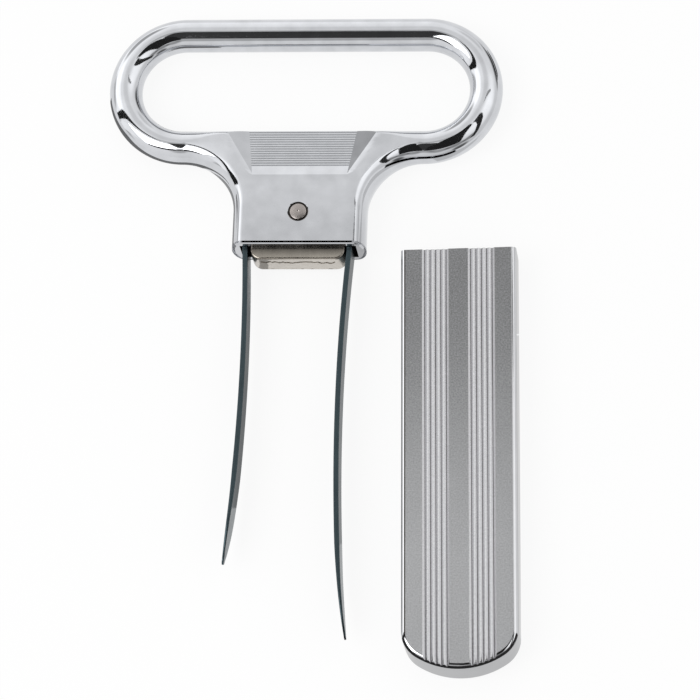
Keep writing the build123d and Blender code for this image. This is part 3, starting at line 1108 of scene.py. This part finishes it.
# Cover
@dataclass
class Cover:
    """The flat sheath: hollow, open at its mouth, five flutes each side of a plain band."""

    half_width: float = 11.0 * MM
    half_depth: float = 4.15 * MM
    length: float = 82.8 * MM
    side_wall: float = 0.6 * MM
    face_wall: float = 0.75 * MM
    edge: float = 0.9 * MM
    inner_edge: float = 0.5 * MM
    arch_height: float = 7.5 * MM
    corner_radius: float = 6.0 * MM
    flute_count: int = 5
    flute_pitch: float = 1.02 * MM
    flute_depth: float = 0.36 * MM
    flute_x: float = 1.83 * MM
    ridge_round: float = 0.12 * MM
    valley_half: float = 0.06 * MM
    flute_margin: float = 0.05 * MM
    corner_steps: int = 16
    arch_steps: int = 20
    ridge_steps: int = 6
    edge_segments: int = 12
    inner_segments: int = 4
    crease_degrees: float = 28.0
    cutter_over: float = 0.6 * MM
    flat_slope: float = 0.02
    crease_slopes: tuple[float, float] = (-0.23, -0.03)
    place_x: float = 30.86 * MM
    place_y: float = -0.65 * MM
    lift: float = -0.65 * MM
    turn_degrees: float = 1.81

    @property
    def place(self) -> Matrix:
        """Where the sheath lies in the drawing's frame."""
        turn = Matrix.Rotation(math.radians(self.turn_degrees), 4, "Z")
        return Matrix.Translation((self.place_x, self.place_y, self.lift)) @ turn

    def outline(self, inset: float) -> list[Vector]:
        """The sheath seen from the front.

        Args:
            inset: How much smaller it is all round but at its mouth.

        Returns:
            Its points, from the mouth's right corner round the closed end.
        """
        half, length = self.half_width - inset, self.length - inset
        radius, height = self.corner_radius - inset, self.arch_height - inset
        straight = length - height
        corner = Vector((half - radius, -straight, 0))
        join = 2 * math.degrees(math.atan2(height - radius, corner.x)) - 90
        side = arc(corner, radius, 0, join, self.corner_steps)
        meet = side[-1]
        rise = meet.y + length
        foot_radius = (meet.x**2 + rise**2) / (2 * rise)
        centre = Vector((0, -length + foot_radius, 0))
        start = math.degrees(math.atan2(meet.y - centre.y, meet.x))
        foot = arc(centre, foot_radius, start, -90, self.arch_steps)[1:]
        return mirrored([Vector((half, 0, 0)), *side, *foot])

    def body(self, inset: float, half_depth: float, edge: float, segments: int) -> Piece:
        """The closed sheath form with its edges rounded.

        Args:
            inset: How much smaller it is all round but at its mouth.
            half_depth: Half its thickness.
            edge: The width of the rounding.
            segments: How many faces the rounding has across.

        Returns:
            The form.
        """

        def at_rim(a: Vector, b: Vector) -> bool:
            """Whether an edge bounds the front or the back, the mouth's edges left out."""
            return abs(a.z - b.z) < WELD and min(a.y, b.y) < -WELD

        form = plate("sheath", self.outline(inset), half_depth)
        bevel_where(form, edge, segments, at_rim)
        return form

    def flute_cutter(self, side: int, face: int) -> Piece:
        """One group of flutes as a form to cut away, its inner ridges rounded.

        Args:
            side: 1 for the right group and -1 for the left one.
            face: 1 for the front and -1 for the back.

        Returns:
            The cutter.
        """
        slope = math.atan2(self.flute_depth, self.flute_pitch / 2 - self.valley_half)
        peak = -self.ridge_round / math.cos(slope)
        line = [Vector((0, 0, 0))]
        for flute in range(self.flute_count):
            valley, ridge = (flute + 0.5) * self.flute_pitch, (flute + 1) * self.flute_pitch
            for x in (valley - self.valley_half, valley + self.valley_half):
                line.append(Vector((x, 0, -self.flute_depth)))
            if flute == self.flute_count - 1:
                line.append(Vector((ridge, 0, 0)))
                break
            for step in range(self.ridge_steps + 1):
                turn = slope * (2 * step / self.ridge_steps - 1)
                across, rise = self.ridge_round * math.sin(turn), self.ridge_round * math.cos(turn)
                line.append(Vector((ridge + across, 0, peak + rise)))
        over = self.cutter_over
        grow = over / math.tan(slope)
        ring = [Vector((-grow, 0, over)), *line, Vector((line[-1].x + grow, 0, over))]

        def place(column: int, row: int) -> Vector:
            """A point of the section, past the closed end or past the mouth."""
            point = ring[column % len(ring)]
            y = MM if row else -self.length - MM
            return Vector((side * (self.flute_x + point.x), y, face * (self.half_depth + point.z)))

        return closed(wrapped_grid("flutes", len(ring) + 1, 2, place))

    def finish_of(self, face: Face) -> int:
        """Which finish a face of the sheath, in its own frame, has.

        Args:
            face: The face.

        Returns:
            1 on the satin flats, 2 in the flutes, 3 (painted shade) in their valleys and as a dark
            line down one edge, else 0.
        """
        depth = self.half_depth - abs(face.center.z)
        if depth > self.flute_depth + self.flute_margin or abs(face.normal.y) > self.flat_slope:
            return 0
        # Painted shade line: the first slant of one side's edge rounding is painted dark.
        low, high = self.crease_slopes
        if low < face.normal.x < high and abs(face.center.x) > self.half_width - self.edge:
            return 3
        if abs(face.normal.z) < 0.5:
            return 0
        # Painted shade in the deeper half of each flute valley.
        if abs(face.normal.x) < self.flat_slope:
            return 3 if depth > self.flute_depth / 2 else 1
        return 2 if abs(face.center.x) < self.flute_x + self.flute_count * self.flute_pitch else 0

    def build(self) -> None:
        """Make the sheath and dress it."""
        cover = self.body(0.0, self.half_depth, self.edge, self.edge_segments)
        inner_half = self.half_depth - self.face_wall
        hollow = self.body(self.side_wall, inner_half, self.inner_edge, self.inner_segments)
        for point in hollow.data.vertices:
            if point.co.y > -WELD:
                point.co.y += MM
        cut_away(cover, hollow)
        for face in (1, -1):
            for side in (1, -1):
                cut_away(cover, self.flute_cutter(side, face))
        weld(cover)
        choices = [self.finish_of(face) for face in cover.data.polygons]
        smooth(settle(cover, self.place), self.crease_degrees)
        finishes = (SHEATH_CHROME, SATIN_CHROME, FLUTE_CHROME, PAINTED_SHADE_DARK)
        dress(cover, "cover", "cover_chrome", ["cover"], *finishes)
        for face, choice in zip(cover.data.polygons, choices):
            face.material_index = choice


# Studio
@dataclass(frozen=True)
class PhotoCamera:
    """The camera of the photograph, placed in the drawing's frame."""

    right_degrees: float = 6.3
    below_degrees: float = 19.0
    roll_degrees: float = 2.136
    distance: float = 1.0
    target: tuple[float, float, float] = (10.4893 * MM, -19.9652 * MM, 0.0)
    focal_pixels: float = 5256.14
    image_pixels: float = 700.0
    sensor: float = 36.0
    clip: tuple[float, float] = (0.05, 20.0)

    def axes(self) -> tuple[Vector, Vector, Vector]:
        """The camera's right, up and back directions."""
        a, e = math.radians(self.right_degrees), math.radians(self.below_degrees)
        back = Vector((math.sin(a) * math.cos(e), -math.sin(e), math.cos(a) * math.cos(e)))
        right = (-back).cross(Axis.Y.vector).normalized()
        up = right.cross(-back)
        roll = math.radians(self.roll_degrees)
        return (
            right * math.cos(roll) + up * math.sin(roll),
            up * math.cos(roll) - right * math.sin(roll),
            back,
        )

    def middle(self) -> Vector:
        """The point that the camera looks at, in the row frame."""
        return ORIGIN + Vector(self.target)

    def way(self, right_degrees: float, up_degrees: float) -> Vector:
        """The direction from the middle that lies so far aside from the camera.

        Args:
            right_degrees: How far to its right.
            up_degrees: How far above it.

        Returns:
            The direction, of length 1.
        """
        right, up, back = self.axes()
        aside = Vector((right_degrees, up_degrees))
        turn = math.radians(aside.length)
        if not turn:
            return back
        aside.normalize()
        return back * math.cos(turn) + (right * aside.x + up * aside.y) * math.sin(turn)

    def build(self) -> None:
        """Make the camera and look through it."""
        data = bpy.data.cameras.new("photo_camera")
        data.sensor_width = self.sensor
        data.lens = self.focal_pixels * self.sensor / self.image_pixels
        data.clip_start, data.clip_end = self.clip
        camera = bpy.data.objects.new("photo_camera", data)
        bpy.context.scene.collection.objects.link(camera)
        right, up, back = self.axes()
        turn = Matrix((right, up, back)).transposed().to_4x4()
        camera.matrix_world = Matrix.Translation(self.middle() + back * self.distance) @ turn
        bpy.context.scene.camera = camera


Strip = tuple[tuple[float, float, float], ...]


@dataclass(frozen=True)
class Card:
    """A strip that only gloss sees, hung round the camera or laid on the floor.

    Its points are directions from the camera, in degrees, or places on the floor, in mm, each
    with a half width. Only a hung card has a use for the distance.
    """

    name: str
    strip: Strip
    level: float
    distance: float = 1.6


@dataclass(frozen=True)
class Glow:
    """A soft patch of the mirrored room: its direction, full reach, outer reach and gain."""

    way: tuple[float, float]
    inner: float
    outer: float
    gain: float


@dataclass
class Studio:
    """White room, pale floor, one soft lamp and what the chrome mirrors round the camera."""

    camera: PhotoCamera = field(default_factory=PhotoCamera)
    lamp_way: tuple[float, float] = (-36.0, 3.5)
    lamp_roll: float = 10.0
    lamp_distance: float = 0.9
    lamp_size: tuple[float, float] = (0.56, 0.44)
    lamp_power: float = 2.2
    room_level: float = 0.78
    floor_size: float = 8.0
    floor_tone: float = 0.95
    floor_white: float = 0.88
    floor_lift: float = 0.05
    dome_radius: float = 3.0
    dome_rings: tuple[int, int] = (48, 24)
    dome_level: float = 1.0
    dome_least: float = 0.03
    dome_lean: tuple[float, float] = (-0.15, 0.12)
    cards: tuple[Card, ...] = (
        Card(
            "frame_top",
            (
                (-20, 30, 2.3), (-36, 27.6, 3.2), (-52, 23, 4.0), (-68, 15, 4.2),
                (-85, 6, 4.5), (-97, 0, 5.0), (-108, -16, 7.0), (-112, -34, 3.0),
            ),
            0.02,
        ),
        Card("frame_low", ((-48, -19, 2.5), (-33, -17, 4.5), (-19, -14, 6.0)), 0.03, 1.75),
        Card("left_white", ((-92, -14, 6), (-76, -8, 9), (-58, -4, 12)), 1.25, 1.8),
        Card(
            "camera_side",
            ((-15, 29, 3.5), (-12, 20, 7.0), (-11, 8, 8.0), (-10, -4, 9.0), (-10, -18, 8.0)),
            0.05,
        ),
        Card(
            "camera_dark",
            ((-3, 33, 2.5), (3, 22, 8.0), (5, 8, 11.5), (7, -6, 15.0), (9, -21, 17.5)),
            0.02,
            1.5,
        ),
        Card(
            "right_dark",
            (
                (8, 30, 2.0), (20, 23, 3.2), (34, 11, 4.0),
                (43, -3, 4.2), (49, -17, 4.2), (50, -29, 4.5),
            ),
            0.03,
        ),
        Card("crease", ((3, 38.9, 0.6), (19, 38.2, 1.2), (32, 37.3, 0.8)), 0.35, 1.7),
    )
    glows: tuple[Glow, ...] = (
        Glow((-85, 75), 10, 60, 0.32),
        Glow((-58, 38), 8, 22, 0.4),
        Glow((-48, 78), 7, 17, -0.95),
        Glow((36, 18), 8, 34, 0.45),
        Glow((-5, 50), 4, 20, -0.22),
        Glow((-12, 30), 3, 9, -0.5),
        Glow((-12, -26), 4, 16, -0.45),
        Glow((78, 60), 9, 24, -0.85),
        Glow((90, 110), 10, 60, -0.35),
        Glow((40, -90), 10, 55, -0.22),
        Glow((6, -35), 3, 14, -0.5),
        Glow((24, -29), 3, 14, -0.55),
        Glow((41, -22), 3, 12, -0.55),
        Glow((-110, -8), 5, 22, -0.6),
        Glow((-88, -22), 4, 16, -0.5),
        Glow((-92, 33), 6, 16, -0.8),
        Glow((26, 76), 5, 12, -0.24),
        Glow((38, -47), 4, 13, -0.6),
    )
    # Painted shadow on the floor, seen only in the metal: floor_left and floor_left_far beside the
    # body's left, floor_shade and cover_shade right of the body and cover, and one along each
    # prong; floor_right is a dark patch of the mirrored room.
    floor_cards: tuple[Card, ...] = (
        Card("floor_left", ((-17, 17, 2.5), (-16.5, 8, 3), (-16.5, -3, 3)), 0.35),
        Card("floor_left_far", ((-20, 20, 7), (-50, 26, 9)), 0.2),
        Card("floor_right", ((58, 60, 8), (90, 84, 18), (210, 170, 40)), 0.08),
        Card("floor_shade", ((39, 15, 12.5), (39, -15, 12.5)), 0.7),
        Card("cover_shade", ((50, -15, 7.8), (52.8, -82, 8.2)), 0.7),
        Card(
            "short_prong_shade",
            (
                (-7.6, 1.5, 1.2), (-7.8, -9, 1.2), (-7.8, -22, 3),
                (-9.3, -41.6, 3), (-10.8, -50, 2.6),
            ),
            0.42,
        ),
        Card(
            "long_prong_shade",
            ((12.7, 1.5, 3), (10.7, -22, 3), (10.1, -41.6, 3), (10.3, -57, 2.6)),
            0.62,
        ),
    )
    # Round the cover's closed end: a grey strip of painted contact shadow from 0.1 to 2.4 mm out,
    # then a black strip and a black fence further out.
    end_gaps: tuple[tuple[float, float, float], ...] = ((0.1, 2.4, 0.68), (2.5, 12.5, 0.03))
    end_fence: float = 15.5

    def bare_tree(self, piece: Piece) -> Tree:
        """Give a piece an empty material of its own name and return its node tree."""
        material = bpy.data.materials.new(piece.name)
        piece.data.materials.append(material)
        return emptied(material)

    def show_to_gloss(self, piece: Piece, tree: Tree, strength: Socket | float) -> None:
        """Let a piece glow for mirrored rays alone.

        Args:
            piece: The card or the dome.
            tree: The node tree of its material.
            strength: Its level, plain or from nodes.
        """
        glow = wire(tree, "ShaderNodeEmission", {"Color": (1, 1, 1, 1), "Strength": strength})
        wire(tree, "ShaderNodeOutputMaterial", {"Surface": glow.outputs[0]})
        for rays in ("camera", "diffuse", "shadow", "transmission"):
            setattr(piece, f"visible_{rays}", False)

    def strip(self, card: Card, placed: Callable[[Vector], Vector]) -> None:
        """Run a card along its flat points and carry it to where it hangs or lies.

        Args:
            card: The card.
            placed: Gives the place of a flat point.
        """
        points = [Vector(point[:2]) for point in card.strip]

        def place(column: int, row: int) -> Vector:
            """A point of the card's edge on one side of its line or the other."""
            before, after = points[max(0, column - 1)], points[min(len(points) - 1, column + 1)]
            run = (after - before).normalized()
            aside = Vector((-run.y, run.x)) * card.strip[column][2] * (1 if row else -1)
            return placed(points[column] + aside)

        piece = wrapped_grid(card.name, len(points), 2, place)
        self.show_to_gloss(piece, self.bare_tree(piece), card.level)

    def hang(self, card: Card) -> None:
        """Hang a card up round the camera."""
        middle = self.camera.middle()
        self.strip(card, lambda point: middle + self.camera.way(*point) * card.distance)

    def lay(self, card: Card) -> None:
        """Lay a card on the floor."""
        low = Vector((ORIGIN.x, ORIGIN.y, self.floor_lift * MM))
        self.strip(card, lambda point: low + point.to_3d() * MM)

    def end_strip(
        self, name: str, near: tuple[float, float], far: tuple[float, float], level: float
    ) -> None:
        """Lay a strip round the cover's closed end, for its rounding and its wall to mirror.

        Args:
            name: The strip's name.
            near: How far from the wall it starts, and how high over the floor, in mm.
            far: How far from the wall it ends, and how high over the floor, in mm.
            level: How bright it is.
        """
        cover = Cover()
        lines = []
        for out, height in (near, far):
            around = [cover.place @ point for point in cover.outline(-out * MM)[1:-1]]
            lines.append([Vector((p.x + ORIGIN.x, p.y + ORIGIN.y, height * MM)) for p in around])
        piece = wrapped_grid(name, len(lines[0]), 2, lambda column, row: lines[row][column])
        self.show_to_gloss(piece, self.bare_tree(piece), level)

    def dome(self) -> None:
        """Set the mirrored room round everything: a level that leans, and its soft patches."""
        put_down()
        round_it, up_it = self.dome_rings
        middle = self.camera.middle()
        bpy.ops.mesh.primitive_uv_sphere_add(
            segments=round_it, ring_count=up_it, radius=self.dome_radius, location=middle
        )
        dome = bpy.context.object
        dome.name = "room_dome"
        tree = self.bare_tree(dome)
        place = wire(tree, "ShaderNodeTexCoord", {}).outputs["Object"]
        way = wire(tree, "ShaderNodeVectorMath", {"operation": "NORMALIZE", "0": place}).outputs[0]

        def towards(aim: Vector) -> Socket:
            """How far a direction points along an aim."""
            along = {"operation": "DOT_PRODUCT", "0": way, "1": aim}
            return wire(tree, "ShaderNodeVectorMath", along).outputs["Value"]

        right, up, _ = self.camera.axes()
        lean = towards(right * self.dome_lean[0] + up * self.dome_lean[1])
        level = reckon(tree, "ADD", self.dome_level, lean)
        for glow in self.glows:
            start, full = (math.cos(math.radians(reach)) for reach in (glow.outer, glow.inner))
            patch = eased(tree, towards(self.camera.way(*glow.way)), start, full, glow.gain)
            level = reckon(tree, "ADD", level, patch)
        self.show_to_gloss(dome, tree, reckon(tree, "MAXIMUM", level, self.dome_least))

    def seen(self, tree: Tree) -> Socket:
        """1 for rays from the camera, off gloss and through glass, else 0."""
        path = tree.nodes.new("ShaderNodeLightPath").outputs
        seen = reckon(tree, "MAXIMUM", path["Is Camera Ray"], path["Is Glossy Ray"])
        return reckon(tree, "MAXIMUM", seen, path["Is Transmission Ray"])

    def room(self) -> None:
        """Light the world: white where it is seen or mirrored, a plain level elsewhere."""
        world = bpy.data.worlds.new("white_room")
        bpy.context.scene.world = world
        tree = emptied(world)
        span = {"Value": self.seen(tree), "To Min": self.room_level, "To Max": 1.0}
        level = wire(tree, "ShaderNodeMapRange", span).outputs[0]
        glow = wire(tree, "ShaderNodeBackground", {"Color": (1, 1, 1, 1), "Strength": level})
        wire(tree, "ShaderNodeOutputWorld", {"Surface": glow.outputs[0]})

    def floor(self) -> None:
        """Lay the pale floor, which keeps the object's shadow."""
        put_down()
        bpy.ops.mesh.primitive_plane_add(size=self.floor_size, location=(0, 0, 0))
        floor = bpy.context.object
        floor.name = "floor"
        tree = self.bare_tree(floor)
        share = reckon(tree, "MULTIPLY", self.seen(tree), self.floor_white)
        tone = (self.floor_tone, self.floor_tone, self.floor_tone, 1)
        paint = wire(tree, "ShaderNodeBsdfDiffuse", {"Color": tone})
        white = wire(tree, "ShaderNodeEmission", {"Color": (1, 1, 1, 1), "Strength": 1.0})
        mix = {"0": share, "1": paint.outputs[0], "2": white.outputs[0]}
        mixed = wire(tree, "ShaderNodeMixShader", mix)
        wire(tree, "ShaderNodeOutputMaterial", {"Surface": mixed.outputs[0]})

    def lamp(self) -> None:
        """Hang up the soft lamp to the left of the camera."""
        data = bpy.data.lights.new("soft_lamp", "AREA")
        data.shape = "RECTANGLE"
        data.size, data.size_y = self.lamp_size
        data.energy = self.lamp_power
        lamp = bpy.data.objects.new("soft_lamp", data)
        bpy.context.scene.collection.objects.link(lamp)
        way = self.camera.way(*self.lamp_way)
        right = self.camera.axes()[0]
        across = (right - way * right.dot(way)).normalized()
        roll = math.radians(self.lamp_roll)
        across = across * math.cos(roll) + way.cross(across) * math.sin(roll)
        turn = Matrix((across, way.cross(across), way)).transposed().to_4x4()
        hung = self.camera.middle() + way * self.lamp_distance
        lamp.matrix_world = Matrix.Translation(hung) @ turn
        lamp.visible_camera = False

    def build(self) -> None:
        """Set up the camera, the room and all that stands in it."""
        bpy.context.scene.view_settings.view_transform = "Standard"
        self.camera.build()
        self.room()
        self.floor()
        self.lamp()
        self.dome()
        lift = self.floor_lift
        for index, (near, far, level) in enumerate(self.end_gaps):
            self.end_strip(f"end_floor_{index}", (near, lift), (far, lift), level)
        _, out, level = self.end_gaps[-1]
        self.end_strip("end_dark", (out, 0.0), (out, self.end_fence), level)
        for card in self.floor_cards:
            self.lay(card)
        for card in self.cards:
            self.hang(card)


def main() -> None:
    """Build the studio and every piece."""
    logging.basicConfig(level=logging.INFO, format="%(message)s")
    Studio().build()
    Handle().build()
    SpacerBlock().build()
    CrossPin().build()
    Prong("long_blade", "long_prong", 77.3 * MM, 3.9).build()
    Prong("short_blade", "short_prong", 62.8 * MM, 2.5, left=True).build()
    Cover().build()
    put_down()


if __name__ == "__main__":
    main()
